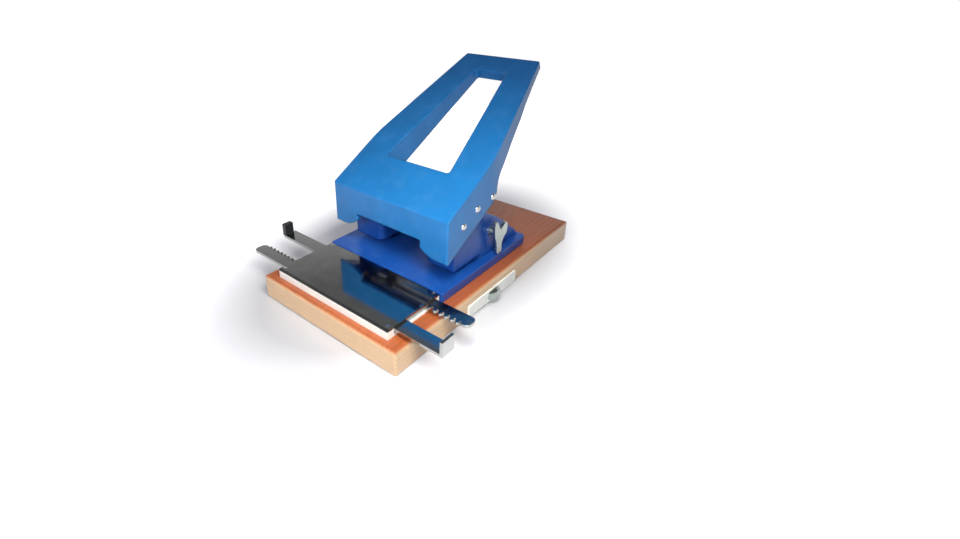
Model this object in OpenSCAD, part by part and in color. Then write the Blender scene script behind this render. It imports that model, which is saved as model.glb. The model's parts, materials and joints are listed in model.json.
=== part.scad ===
// Adjustable two-hole punch: a sprung lever over two punch towers on a wooden board, with a
// paper platform, a rack-and-pinion side guide, a depth stop and a chip drawer in the board.
// Frame: +X to the right, +Y to the rear, +Z up. Origin at the centre of the felt's underside.

/* [Board] */
// Width of the wooden board
board_w = 183; // [178:1:220]
// Length of the wooden board, front to rear
board_l = 318; // [312:1:360]
// Thickness of the wooden board
board_t = 24.5; // [24:0.5:32]
// Radius of the board's upright corners
board_corner_r = 2.5; // [1:0.5:8]
// Radius of the board's top edges
board_edge_r = 3.5; // [0.5:0.5:4]
// Thickness of the felt under the board
felt_t = 1.5; // [1:0.25:3]
// Distance of the felt's edge from the board's edge
felt_inset = 2; // [0.5:0.5:6]

/* [Chip drawer] */
// Length of the drawer's front plate
drawer_l = 88; // [87:0.5:94]
// Height of the drawer's front plate
drawer_h = 13.5; // [13:0.5:15]
// Thickness of the drawer's front plate
drawer_t = 3; // [2:0.25:5]
// Depth of the pocket in the board's side that the front plate lies in
drawer_sink = 2; // [0.5:0.25:2.5]
// Length of the tray, front to rear
tray_l = 84; // [60:1:85]
// Depth of the tray into the board
tray_reach = 146; // [138:1:152]
// Height of the tray
tray_h = 9.5; // [8:0.5:9.5]
// Wall of the tray
tray_wall = 2; // [1:0.25:3]
// Distance of the drawer's middle behind the punch line
drawer_offset = 10; // [4:0.5:14]
// Width of the drawer's pull
pull_w = 23; // [18:0.5:28]
// Height of the drawer's pull
pull_h = 10.5; // [9:0.5:11.5]
// Reach of the drawer's pull in front of its plate
pull_reach = 6; // [5:0.5:8]

/* [Base plate] */
// Width of the base plate
base_w = 156; // [146:1:170]
// Length of the base plate
base_l = 155; // [153:1:160]
// Thickness of the base plate
base_t = 10; // [9:0.5:14]
// Radius of its rear corners
base_corner_r = 5; // [3:0.5:16]
// Distance from the board's front edge to the base plate
base_setback = 80; // [79:0.5:81]
// Distance from the base plate's front edge to the punch line
throat = 58; // [54:0.5:59]

/* [Towers] */
// Distance between the two holes
hole_spacing = 80; // [76:0.5:84]
// Half the clear width between the towers
tower_inner_x = 30; // [28:0.5:31]
// Width of each tower's block, up to the cheek
tower_w = 32; // [30:0.5:33]
// Thickness of each cheek
cheek_t = 6; // [4:0.25:6]
// Height of each tower's block above the base plate
tower_h = 34; // [28:0.5:36]
// Reach of each tower in front of the punch line
tower_front = 27; // [18:0.5:30]
// Reach of each tower's block behind the punch line
tower_rear = 36; // [34:0.5:37]
// Radius of the inner front corner of each tower
tower_corner_r = 8; // [3:0.5:12]
// Height of the paper slot
slot_h = 5; // [4.6:0.1:6]
// Reach of the paper slot behind the punch line
slot_rear = 19; // [15:0.5:20]
// Reach of each cheek's foot behind the punch line
cheek_rear = 93; // [84:0.5:96]

/* [Punching] */
// Diameter of the punch pins
pin_d = 6; // [5:0.25:6.5]
// Diameter of the pins' heads
pin_head_d = 13; // [12:0.25:15]
// Thickness of the pins' heads
pin_head_t = 4; // [3:0.25:6]
// Outer diameter of the dies
die_d = 12; // [10:0.5:16]
// Height of the dies
die_t = 6; // [4:0.5:7]
// Diameter of the spring wire
spring_wire_d = 1.4; // [1:0.1:1.6]
// Middle diameter of the springs
spring_d = 10.4; // [9.6:0.1:10.8]
// Turns of each spring
spring_turns = 6.5; // [5:0.5:7]

/* [Lever] */
// Length of the lever along its top
lever_l = 227.5; // [216:0.5:240]
// Width of the lever at its front
lever_w = 152; // [149.5:0.5:156]
// Width of the lever at its tip
lever_tip_w = 95; // [80:1:104]
// Distance from the lever's front to where its sides begin to draw in
lever_shoulder = 80; // [70:1:95]
// Slope of the lever's top at rest
lever_angle = 29.8; // [28:0.1:31]
// Angle that the lever swings down
lever_swing = 20; // [15:0.5:20]
// Height of the lever's front wall
lever_front_h = 46; // [43:0.5:47]
// Depth of the lever's sides at the pivot
belly_depth = 41; // [40.5:0.5:44]
// Distance from the lever's front to the end of the deep sides
belly_end = 62; // [61:0.5:66]
// Depth of the lever's sides at the tip
tip_depth = 7; // [6:0.5:12]
// Thickness of the lever's top
top_t = 4; // [3:0.25:5]
// Thickness of the lever's sides
flange_t = 5; // [4:0.25:5]
// Height of the pivot above the base plate
pivot_h = 57; // [56:0.5:60]
// Distance of the pivot in front of the punch line
pivot_lead = 25; // [23:0.5:27]
// Distance of the pivot behind the lever's front, along the top
pivot_inset = 15; // [14.5:0.25:16]
// Distance of the pivot below the lever's top
pivot_depth = 23.6; // [23:0.1:25]
// Start of the window behind the lever's front
window_start = 51.5; // [51:0.5:56]
// End of the window behind the lever's front
window_end = 201; // [180:1:206]
// Width of the window at its front end
window_w = 84; // [70:1:90]
// Width of the window at its tip end
window_tip_w = 41; // [30:1:46]
// Thickness of the turned-down wall round the window
window_wall_t = 3; // [2:0.25:3]

/* [Platform] */
// Width of the paper platform
platform_w = 151; // [146:1:153]
// Length of the paper platform
platform_l = 70.5; // [70:0.5:74]
// Gap between the platform and the base plate
platform_gap = 1.5; // [0.5:0.25:2]
// Thickness of the platform's steel plate
platform_t = 2; // [1.5:0.25:2.5]
// Depth of the dark strip along the platform's front edge
strip_t = 2; // [1:0.25:2.5]

/* [Paper guide] */
// Width of the two toothed bars
rack_w = 16; // [14:0.5:16]
// Thickness of the two toothed bars
rack_t = 3; // [2:0.25:3.5]
// Tooth module of the bars and the pinion
gear_module = 2; // [1.9:0.05:2]
// Teeth of the pinion
pinion_teeth = 14; // [14:2:14]
// Reach of the front bar to the right
guide_right = 127; // [124:1:150]
// Reach of the front bar to the left
guide_tail = 133; // [129:1:150]
// Height of the bars' upturned ends above the bars
guide_h = 12; // [8:0.5:20]

/* [Depth stop] */
// Distance of the stop's face behind the punch line
stop_depth = 12; // [12:0.5:14]
// Height of the stop's face
stop_h = 9; // [6:0.5:14]
// Width of the stop's blade
stop_w = 48; // [30:1:52]
// Thickness of the stop's sheet
stop_t = 2; // [1.5:0.25:2.5]
// Travel of the stop, front to rear
stop_travel = 14; // [10:0.5:14]
// Distance of the clamp screw behind the punch line
clamp_back = 36; // [35:0.5:37]
// Height of the clamp screw above the base plate
clamp_h = 26; // [25.5:0.5:27]
// Diameter of the clamp screw's thread
clamp_d = 6; // [5:0.5:6]
// Reach of the clamp screw's long arm
clamp_arm_l = 24.5; // [18:0.5:25]

/* [Hidden] */
$fn = 48;

// Clearances and the overrun of cuts
over = 1;
slide_gap = 0.3;
shaft_gap = 0.05;
pin_gap = 0.03;
bar_gap = 0.15;
screw_gap = 0.25;

// Levels
board_z = felt_t + board_t;
table_z = board_z + base_t;

// Stations from front to rear
base_y = base_setback - board_l / 2;
pin_y = base_y + throat;
base_rear_y = base_y + base_l;
platform_rear_y = base_y - platform_gap;
platform_y = platform_rear_y - platform_l;

// Drawer and its tunnel
panel_t = 2.5;
panel_rebate = 4;
tunnel_side_gap = 0.5;
tunnel_roof_gap = 0.7;
tray_floor = 1.5;
drawer_lift = 0.5;
drawer_y = pin_y + drawer_offset;
tray_z = felt_t + panel_t + slide_gap;
tray_x = board_w / 2 - tray_reach;
drawer_x = board_w / 2 - drawer_sink + slide_gap;
tunnel_top = tray_z + tray_h + tunnel_roof_gap;
tunnel_l = tray_l + 2 * tunnel_side_gap;
pull_z = felt_t + drawer_lift + (drawer_h - pull_h) / 2;
pull_t = 1.2;
pull_r = (pull_w * pull_w / 4 + pull_reach * pull_reach) / (2 * pull_reach);
pull_shares = [[1, 0.28], [0.97, 0.6], [0.88, 0.83], [0.74, 0.96], [0.6, 1]];
pull_boss_d = 6;
pull_boss_l = 3.5;
pull_screw_z = pull_z + pull_h / 2;
pull_screw_d = 3;
pull_screw_head_d = 6;
pull_screw_head_t = 2.2;
pull_screw_bite = 2.5;
drawer_edge_r = 2;
tray_corner_r = 3;

// Screws from below into the base plate
base_screw_d = 5;
base_screw_head_d = 9;
base_screw_head_t = 4;
base_screw_sink = 8;
base_screw_bite = 7.5;
base_screw_inset = 10;
base_screw_x = base_w / 2 - base_screw_inset;
base_front_r = 2;

// Tower blocks, cheeks and their bolts
cheek_x = tower_inner_x + tower_w;
tower_x = hole_spacing / 2;
tower_front_y = pin_y - tower_front;
tower_rear_y = pin_y + tower_rear;
slot_rear_y = pin_y + slot_rear;
tower_top_z = table_z + tower_h;
tower_bolt_d = 6;
tower_bolt_head_d = 10;
tower_bolt_head_t = 5;
tower_bolt_bite = 14;
tower_bolt_y = (slot_rear_y + tower_rear_y) / 2;
tower_bolt_inset = 8;
chip_hole_d = 8;
chip_board_d = 10;

// Lever, drawn about its pivot with a along the top and b square to it
pivot_y = pin_y - pivot_lead;
pivot_z = table_z + pivot_h;
press_u = 39.3;
press_v = 25.4;
rod_u = 64.3;
rod_v = 35;
shaft_d = 10;
rod_d = 7;
spigot_d = 5;
rivet_d = 7.4;
rivet_h = 2.2;
rivet_steps = 6;
roller_d = 16;
roller_w = 12;
clip_d = 13;
clip_t = 1;
bush_d = 14;
bush_flange_d = 18;
boss_r = 13;
lever_corner_r = 2;
lever_plan_r = 2;
lever_shoulder_r = 160;
lever_belly_r = 8;
lever_foot_r = 2;
lever_tip_r = 2;
lever_tip_plan_r = 4;
window_r = 3;
window_wall_front = 30;
window_wall_rear = 12;
notch_w = 86;
notch_h = 28;
foot_rise = 10;
foot_shares = [[0, 1], [0.18, 0.66], [0.4, 0.38], [0.7, 0.14], [1, 0]];
flange_shares = [[0.05, 0.875], [0.075, 0.705], [0.105, 0.56], [0.15, 0.455], [0.26, 0.395], [0.36, 0.315],
    [0.555, 0.225], [0.68, 0.11], [0.84, 0.05]];
lever_in_x = lever_w / 2 - flange_t;

// Points of the lever's side view: u from its front along the top, v down from the top
function lever_pt(u, v) = [u - pivot_inset, pivot_depth - v];
// The same point in the part's frame, with the lever swung down by turn
function world_pt(u, v, turn = 0) =
    let (p = lever_pt(u, v), t = lever_angle - turn)
    [pivot_y + p[0] * cos(t) - p[1] * sin(t), pivot_z + p[0] * sin(t) + p[1] * cos(t)];
press_at = world_pt(press_u, press_v);
rod_low = world_pt(rod_u, rod_v, lever_swing);

// Pins and springs
pin_lift = 0.6;
pin_bottom_z = table_z + slot_h + pin_lift;
pin_top_z = press_at[1] - roller_d / 2 - slide_gap;
spring_z = tower_top_z + spring_wire_d / 2;
spring_l = pin_top_z - pin_head_t - slide_gap - tower_top_z - spring_wire_d;
coil_rings = 8;
coil_sides = 6;

// Side view of a cheek, above the base plate and behind the punch line
cheek_top_z = rod_low[1] - rod_d / 2 - slide_gap;
cheek_top_h = cheek_top_z - table_z;
cheek_shares = [[1, 0], [0.94, 0.16], [0.79, 0.365], [0.65, 0.583], [0.505, 0.768], [0.27, 1]];
cheek_neck = 15;
cheek_step_h = 37.5;
nose_low_h = 28.5;
nose_high_h = 40;
cheek_front_y = world_pt(0, 0)[0] + flange_t + slide_gap;

// Platform, housing and screws
platform_bottom_z = table_z - platform_t;
housing_floor = 2;
guide_block_w = 12;
guide_block_x = 50;
platform_screw_d = 2.5;
platform_screw_head_d = 4.6;
platform_screw_head_t = 1.1;
platform_screw_bite = 8;
platform_screw_inset = 4.5;
platform_screw_front = 5;
platform_screw_rear = 2.4;
platform_edge_r = 1.5;

// Bars and pinion
rack_z = platform_bottom_z - slide_gap - rack_t;
pitch = PI * gear_module;
pinion_r = gear_module * pinion_teeth / 2;
rack_addendum = 0.8 * gear_module;
rack_root = 1.25 * gear_module;
backlash = 0.25;
tooth_angle = 20;
bar_front_wall = 8.5;
front_bar_y = platform_y + bar_front_wall;
pinion_y = front_bar_y + rack_w - rack_addendum + pinion_r;
rear_bar_y = pinion_y + pinion_r - rack_addendum;
head_teeth = 9;
tail_gap = 3;
bar_end_t = 3;
bar_tab_l = 8;
cap_w = 6;
cap_l = 11;
cap_top = 2;
tail_r = 5;
rear_left = 134.5;
rear_right = 122;
pinion_pin_d = 6;
pinion_boss_d = 12;
involute_steps = 5;

// Depth stop
stop_y = pin_y + stop_depth;
clamp_y = pin_y + clamp_back;
clamp_z = table_z + clamp_h;
stop_bridge_l = 12;
stop_reach = 55;
stop_ear_half = 5.5;
stop_ear_rear_h = 18;
stop_ear_t = 3;
stop_ear_x = cheek_x - slide_gap;
stop_travel_front = 4;
stop_ear_front = stop_travel - stop_travel_front + clamp_d / 2 + slide_gap;
clamp_bush_d = 9;
clamp_bush_flange_d = 11;
clamp_bush_flange_t = 1.2;
hub_d = 9.5;
hub_tip_d = 8;
hub_l = 6.2;
arm_t = 3.2;
arm_r = 1.6;
// Outline of the clamp's three arms about its axis, as shares of the long arm's reach
arm_shares = [[-0.05, -0.98], [0.32, -0.98], [0.27, -0.57], [0.38, -0.35], [0.6, -0.17], [0.66, 0.06],
    [0.62, 0.36], [0.42, 0.36], [0.12, 0.16], [-0.18, 0.64], [-0.35, 0.62], [-0.34, 0.2],
    [-0.28, -0.12], [-0.13, -0.44]];

// Corner of an outline replaced by an arc of radius r
function unit(v) = v / norm(v);
function arc_corner(a, b, c, r, n) =
    let (u = unit(a - b), w = unit(c - b), half = acos(u * w) / 2,
        centre = b + unit(u + w) * r / sin(half), reach = r / tan(half),
        p = b + u * reach - centre, q = b + w * reach - centre,
        t = atan2(p[1], p[0]), turn = (atan2(q[1], q[0]) - t + 540) % 360 - 180)
    [for (i = [0:n]) centre + r * [cos(t + turn * i / n), sin(t + turn * i / n)]];
// Outline with a radius for each corner, where 0 keeps the corner sharp
function rounded(points, radii, n = 8) =
    let (m = len(points))
    [for (i = [0:m - 1]) each (radii[i] > 0
        ? arc_corner(points[(i + m - 1) % m], points[i], points[(i + 1) % m], radii[i], n)
        : [points[i]])];
// Half outline given for positive x, completed by its mirror image
function mirrored(half) = concat(half, [for (i = [len(half) - 1:-1:0]) [-half[i][0], half[i][1]]]);

// Outline in the YZ plane, raised along X from x by t
module side_slab(x, t) {
    translate([x, 0, 0]) rotate([90, 0, 90]) linear_extrude(t) children();
}
// Section with rounded upper corners, standing on the first axis
module round_top(w, h, r) {
    translate([-w / 2, 0]) square([w, h - r]);
    translate([r - w / 2, 0]) square([w - 2 * r, h]);
    for (s = [-1, 1]) translate([s * (w / 2 - r), h - r]) circle(r);
}
// Centred plan with four rounded corners
module round_plan(w, l, r) {
    square([w, l - 2 * r], center = true);
    square([w - 2 * r, l], center = true);
    for (x = [-1, 1], y = [-1, 1]) translate([x * (w / 2 - r), y * (l / 2 - r)]) circle(r);
}
// Cylinder along X from x, length l
module along_x(x, y, z, d, l) {
    translate([x, y, z]) rotate([0, 90, 0]) cylinder(d = d, h = l);
}
// Low dome of a riveted end, standing on the plane z = 0
module dome(d, h) {
    r = (d * d / 4 + h * h) / (2 * h);
    half = asin(d / 2 / r);
    rotate_extrude()
        polygon(concat([[0, 0]], [for (i = [0:rivet_steps])
            r * [sin(half * (1 - i / rivet_steps)), cos(half * (1 - i / rivet_steps))]
            - [0, r - h]]));
}

// Felt sheet glued under the board
module felt_pad() {
    color("darkolivegreen") linear_extrude(felt_t)
        round_plan(board_w - 2 * felt_inset, board_l - 2 * felt_inset, board_corner_r);
}

module base_screw_places() {
    for (x = [-1, 1], y = [base_y + base_screw_inset, base_rear_y - base_screw_inset])
        translate([x * base_screw_x, y, 0]) children();
}
module platform_screw_places() {
    for (x = [-1, 1], y = [platform_y + platform_screw_front, platform_rear_y - platform_screw_rear])
        translate([x * (platform_w / 2 - platform_screw_inset), y, 0]) children();
}

// Wooden board with the drawer's tunnel, open to the right side
module board() {
    color("peru") difference() {
        translate([0, 0, felt_t]) intersection() {
            linear_extrude(board_t) round_plan(board_w, board_l, board_corner_r);
            translate([-board_w / 2, 0, 0]) rotate([90, 0, 90]) linear_extrude(board_w)
                round_top(board_l, board_t, board_edge_r);
            translate([0, board_l / 2, 0]) rotate([90, 0, 0]) linear_extrude(board_l)
                round_top(board_w, board_t, board_edge_r);
        }
        translate([tray_x - tunnel_side_gap, drawer_y - tunnel_l / 2, felt_t - over])
            cube([board_w, tunnel_l, tunnel_top - felt_t + over]);
        translate([board_w / 2 - drawer_sink, drawer_y - drawer_l / 2 - tunnel_side_gap, felt_t - over])
            cube([drawer_sink + over, drawer_l + 2 * tunnel_side_gap,
                drawer_lift + drawer_h + tunnel_side_gap + over]);
        translate([tray_x - tunnel_side_gap - panel_rebate,
            drawer_y - tunnel_l / 2 - panel_rebate, felt_t - over])
            cube([board_w, tunnel_l + 2 * panel_rebate, panel_t + over]);
        for (x = [-1, 1]) translate([x * tower_x, pin_y, tunnel_top - over])
            cylinder(d = chip_board_d, h = board_t);
        base_screw_places() {
            cylinder(d = base_screw_head_d + 2 * screw_gap, h = felt_t + base_screw_sink);
            cylinder(d = base_screw_d + 2 * screw_gap, h = board_z + over);
        }
        platform_screw_places() translate([0, 0, board_z - platform_screw_bite - screw_gap])
            cylinder(d = platform_screw_d + 2 * shaft_gap, h = board_t);
    }
}

// Thin panel that closes the tunnel from below
module floor_panel() {
    color("burlywood")
        translate([tray_x - tunnel_side_gap - panel_rebate,
            drawer_y - tunnel_l / 2 - panel_rebate, felt_t])
        cube([tray_reach + tunnel_side_gap + panel_rebate - drawer_sink,
            tunnel_l + 2 * panel_rebate, panel_t]);
}

// Open tray that catches the chips
module drawer_tray() {
    tray_w = drawer_x - tray_x;
    color("whitesmoke") translate([tray_x + tray_w / 2, drawer_y, tray_z]) difference() {
        linear_extrude(tray_h) round_plan(tray_w, tray_l, tray_corner_r);
        translate([0, 0, tray_floor]) linear_extrude(tray_h)
            round_plan(tray_w - 2 * tray_wall, tray_l - 2 * tray_wall, tray_corner_r - tray_wall / 2);
        translate([tray_w / 2 - tray_wall - over, 0, pull_screw_z - tray_z]) rotate([0, 90, 0])
            cylinder(d = pull_screw_d, h = tray_wall + 2 * over);
    }
}

// Front plate of the drawer, which covers the tunnel's mouth
module drawer_front() {
    color("ivory") difference() {
        translate([drawer_x, drawer_y, felt_t + drawer_lift + drawer_h / 2])
            rotate([90, 0, 90]) linear_extrude(drawer_t) round_plan(drawer_l, drawer_h, drawer_edge_r);
        along_x(drawer_x - over, drawer_y, pull_screw_z, pull_screw_d, drawer_t + 2 * over);
    }
}

// Half-moon form of the pull about its upright axis, or its hollow
module pull_form(r, h, low) {
    translate([drawer_x + drawer_t + pull_reach - pull_r, drawer_y, pull_z]) rotate_extrude()
        polygon(concat([[0, low], [r, low]], [for (s = pull_shares) [r * s[0], h * s[1]]], [[0, h]]));
}
// Pressed metal pull, open below, with a block inside for its screw
module drawer_pull() {
    face = drawer_x + drawer_t;
    color("silver") difference() {
        intersection() {
            pull_form(pull_r, pull_h, 0);
            translate([face, drawer_y - pull_w, pull_z]) cube([pull_reach + over, 2 * pull_w, pull_h]);
        }
        difference() {
            pull_form(pull_r - pull_t, pull_h - pull_t, -over);
            along_x(face, drawer_y, pull_screw_z, pull_boss_d, pull_boss_l);
            translate([face, drawer_y - pull_boss_d / 2, pull_screw_z])
                cube([pull_boss_l, pull_boss_d, pull_h]);
        }
        along_x(face - over, drawer_y, pull_screw_z, pull_screw_d, pull_screw_bite + over);
    }
}

// Screw from inside the tray into the pull
module pull_screw() {
    wall_x = drawer_x - tray_wall;
    color("gray") {
        along_x(wall_x, drawer_y, pull_screw_z, pull_screw_d, tray_wall + drawer_t + pull_screw_bite);
        along_x(wall_x - pull_screw_head_t, drawer_y, pull_screw_z, pull_screw_head_d,
            pull_screw_head_t);
    }
}

// Cast base plate under the towers
module base_plate() {
    hw = base_w / 2;
    color("royalblue") difference() {
        translate([0, 0, board_z]) linear_extrude(base_t)
            polygon(rounded([[-hw, base_y], [hw, base_y], [hw, base_rear_y], [-hw, base_rear_y]],
                [base_front_r, base_front_r, base_corner_r, base_corner_r]));
        for (x = [-1, 1]) translate([x * tower_x, pin_y, 0]) {
            translate([0, 0, table_z - die_t]) cylinder(d = die_d, h = die_t + over);
            translate([0, 0, board_z - over]) cylinder(d = chip_hole_d, h = base_t);
        }
        base_screw_places() translate([0, 0, board_z - over])
            cylinder(d = base_screw_d, h = base_screw_bite + over);
        tower_bolt_places() translate([0, 0, board_z - over]) {
            cylinder(d = tower_bolt_head_d + 2 * screw_gap, h = tower_bolt_head_t + over);
            cylinder(d = tower_bolt_d + 2 * screw_gap, h = base_t + 2 * over);
        }
    }
}

// Four screws up through the board into the base plate
module base_screws() {
    color("gray") base_screw_places() translate([0, 0, felt_t + base_screw_sink]) {
        translate([0, 0, -base_screw_head_t]) cylinder(d = base_screw_head_d, h = base_screw_head_t);
        cylinder(d = base_screw_d, h = board_z + base_screw_bite - felt_t - base_screw_sink);
    }
}

module tower_bolt_places() {
    for (s = [-1, 1], x = [tower_inner_x + tower_bolt_inset, cheek_x - tower_bolt_inset])
        translate([s * x, tower_bolt_y, 0]) children();
}
// Four bolts up through the base plate into the towers
module tower_bolts() {
    color("gray") tower_bolt_places() translate([0, 0, board_z]) {
        cylinder(d = tower_bolt_head_d, h = tower_bolt_head_t);
        cylinder(d = tower_bolt_d, h = base_t + tower_bolt_bite);
    }
}

// Side view of a cheek: foot, hump, top for the stop rod, pivot boss and nose
module cheek_outline() {
    polygon(concat([[tower_front_y, table_z]],
        [for (s = cheek_shares) [pin_y + cheek_rear * s[0], table_z + cheek_top_h * s[1]]],
        [[pivot_y + cheek_neck, cheek_top_z], [pivot_y, cheek_top_z],
            [cheek_front_y, table_z + nose_high_h], [cheek_front_y, table_z + nose_low_h],
            [tower_front_y, table_z + cheek_step_h]]));
    translate([pivot_y, pivot_z]) circle(boss_r);
}
// One punch tower: the block that guides the pin and the cheek that holds the pivot
module tower(side) {
    color("royalblue") difference() {
        mirror([side < 0 ? 1 : 0, 0, 0]) difference() {
            union() {
                translate([0, 0, table_z]) linear_extrude(tower_h)
                    polygon(rounded([[tower_inner_x, tower_front_y], [cheek_x, tower_front_y],
                        [cheek_x, tower_rear_y], [tower_inner_x, tower_rear_y]],
                        [tower_corner_r, 0, 0, base_front_r]));
                side_slab(cheek_x, cheek_t) cheek_outline();
            }
            translate([0, tower_front_y - over, table_z - over])
                cube([board_w, slot_rear_y - slot_h / 2 - tower_front_y + over, slot_h + over]);
            along_x(0, slot_rear_y - slot_h / 2, table_z + slot_h / 2, slot_h, board_w);
            translate([tower_x, pin_y, table_z]) cylinder(d = pin_d + 2 * pin_gap, h = tower_h + over);
            along_x(cheek_x - over, pivot_y, pivot_z, bush_d, cheek_t + 2 * over);
        }
        tower_bolt_places() translate([0, 0, table_z - over])
            cylinder(d = tower_bolt_d, h = tower_bolt_bite + over);
        if (side > 0) clamp_cuts();
    }
}
// Hole for the clamp screw's bush in the right cheek, and the groove for the depth stop's ear
module clamp_cuts() {
    front = clamp_y - stop_ear_front - stop_travel_front - slide_gap;
    along_x(cheek_x - over, clamp_y, clamp_z, clamp_bush_d, cheek_t + 2 * over);
    translate([stop_ear_x - stop_ear_t - slide_gap, front, clamp_z - stop_ear_half - slide_gap])
        cube([stop_ear_t + 2 * slide_gap, tower_rear_y + over - front, tower_h]);
}
module left_tower() {
    tower(-1);
}
module right_tower() {
    tower(1);
}

// Hardened ring that the pin cuts into
module die(side) {
    color("silver") translate([side * tower_x, pin_y, table_z - die_t]) difference() {
        cylinder(d = die_d, h = die_t);
        translate([0, 0, -over]) cylinder(d = pin_d + 2 * pin_gap, h = die_t + 2 * over);
    }
}
module left_die() {
    die(-1);
}
module right_die() {
    die(1);
}

// Punch pin with a button head under the roller
module pin(side) {
    color("silver") translate([side * tower_x, pin_y, 0]) {
        translate([0, 0, pin_bottom_z]) cylinder(d = pin_d, h = pin_top_z - pin_bottom_z);
        translate([0, 0, pin_top_z - pin_head_t]) cylinder(d = pin_head_d, h = pin_head_t);
    }
}
module left_pin() {
    pin(-1);
}
module right_pin() {
    pin(1);
}

// Points along a coil, and one ring of the wire about each
coil_steps = spring_turns * coil_rings;
coil_path = [for (i = [0:coil_steps]) let (t = 360 * i / coil_rings)
    [spring_d / 2 * cos(t), spring_d / 2 * sin(t), spring_l * i / coil_steps]];
function coil_ring(i) =
    let (t = 360 * i / coil_rings, n = [cos(t), sin(t), 0],
        along = unit([-PI * spring_d * sin(t), PI * spring_d * cos(t), spring_l / spring_turns]),
        b = cross(along, n))
    [for (k = [0:coil_sides - 1]) let (w = 360 * k / coil_sides)
        coil_path[i] + spring_wire_d / 2 * (cos(w) * n + sin(w) * b)];
coil_self_gap = min([for (i = [0:coil_steps], j = [0:coil_steps])
    if (j - i > coil_rings / 2) norm(coil_path[i] - coil_path[j])]) - spring_wire_d;
echo(coil_self_gap = coil_self_gap);
// Return spring round the pin, one unbroken wire
module spring(side) {
    m = coil_sides;
    color("gainsboro") translate([side * tower_x, pin_y, spring_z]) polyhedron(
        [for (i = [0:coil_steps]) each coil_ring(i)],
        concat([for (k = [1:m - 2]) [0, k, k + 1]],
            [for (i = [0:coil_steps - 1], k = [0:m - 1]) let (a = i * m + k, b = i * m + (k + 1) % m)
                each [[a, a + m, b], [b, a + m, b + m]]],
            [for (k = [1:m - 2]) [coil_steps * m, coil_steps * m + k + 1, coil_steps * m + k]]));
}
module left_spring() {
    spring(-1);
}
module right_spring() {
    spring(1);
}

// Outer side view of the lever about its pivot
function lever_side() =
    let (span = lever_l - belly_end, drop = belly_depth - tip_depth,
        foot = -lever_front_h * sin(lever_angle), foot_v = lever_front_h * cos(lever_angle),
        low = [for (s = flange_shares)
            lever_pt(belly_end + span * s[0], tip_depth + drop * s[1])],
        corners = concat([lever_pt(0, 0), lever_pt(foot, foot_v), lever_pt(belly_end, belly_depth)],
            low, [lever_pt(lever_l, tip_depth), lever_pt(lever_l, 0)]))
    rounded(corners, concat([lever_corner_r, lever_foot_r], [for (i = [0:len(low)]) lever_belly_r],
        [lever_tip_r, lever_tip_r]));
// Outline of the lever seen square to its top, drawn in by wall at the sides and the tip
function lever_plan(wall) =
    let (w = lever_w / 2 - wall, tip = lever_tip_w / 2 - wall, front = -pivot_inset - lever_front_h,
        shoulder = lever_shoulder - pivot_inset, rear = lever_l - wall - pivot_inset)
    rounded([[-w, front], [w, front], [w, shoulder], [tip, rear], [-tip, rear], [-w, shoulder]],
        [0, 0, lever_shoulder_r, lever_tip_plan_r, lever_tip_plan_r, lever_shoulder_r]);
// Inside of the lever's side view, open below
function lever_inside() =
    let (a = flange_t / cos(lever_angle), t = tan(lever_angle), low = 2 * belly_depth)
    [lever_pt(a - top_t * t, top_t), lever_pt(a - low * t, low),
        lever_pt(lever_l - flange_t, low), lever_pt(lever_l - flange_t, top_t)];
// Window outline, grown by t
function window_plan(t) =
    let (w = window_w / 2 + t, tip = window_tip_w / 2 + t,
        front = window_start - t - pivot_inset, rear = window_end + t - pivot_inset)
    rounded([[-w, front], [w, front], [tip, rear], [-tip, rear]],
        [window_r + t, window_r + t, window_r + t, window_r + t]);
// Puts what is drawn about the pivot into its place at rest
module in_lever() {
    translate([0, pivot_y, pivot_z]) rotate([lever_angle, 0, 0]) children();
}
// Plan raised square to the lever's top, past its depth on both sides
module lever_column(plan) {
    translate([0, 0, pivot_depth - 2 * belly_depth]) linear_extrude(3 * belly_depth) polygon(plan);
}
module lever_form(side, wall) {
    in_lever() intersection() {
        side_slab(-lever_w / 2, lever_w) polygon(side);
        lever_column(lever_plan(wall));
    }
}
// Upright column that rounds the lever's two front corners
module front_rounding() {
    front = world_pt(0, 0)[0];
    w = lever_w / 2;
    translate([0, 0, table_z]) linear_extrude(pivot_h + lever_l)
        polygon(rounded([[-w, front], [w, front], [w, front + lever_l], [-w, front + lever_l]],
            [lever_plan_r, lever_plan_r, 0, 0]));
}
// Opening in the front wall between the two feet, and the feet's curved lower edges
module front_notch() {
    at = world_pt(0, 0);
    low = at[1] - lever_front_h;
    half = [for (s = foot_shares)
        [notch_w / 2 + (lever_in_x - notch_w / 2) * s[0], low + foot_rise * s[1]]];
    outline = concat([[notch_w / 2, at[1] - notch_h]], half, [[lever_in_x, low - lever_foot_r]]);
    translate([0, at[0] + flange_t + over, 0]) rotate([90, 0, 0])
        linear_extrude(flange_t + 2 * over) polygon(mirrored(outline));
}
// Wide lever: top, sides, front wall with two feet, and a window with a turned-down wall
module lever() {
    color("royalblue") difference() {
        union() {
            difference() {
                intersection() {
                    lever_form(lever_side(), 0);
                    front_rounding();
                }
                lever_form(lever_inside(), flange_t);
            }
            in_lever() intersection() {
                lever_column(window_plan(window_wall_t));
                side_slab(-window_w, 2 * window_w) polygon([
                    lever_pt(window_start - window_wall_t, 0),
                    lever_pt(window_start - window_wall_t, window_wall_front),
                    lever_pt(window_end + window_wall_t, window_wall_rear),
                    lever_pt(window_end + window_wall_t, 0)]);
            }
        }
        in_lever() {
            lever_column(window_plan(0));
            for (p = [[0, 0], lever_pt(press_u, press_v), lever_pt(rod_u, rod_v)])
                along_x(-lever_w / 2 - over, p[0], p[1], spigot_d, lever_w + 2 * over);
        }
        front_notch();
    }
}
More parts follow.
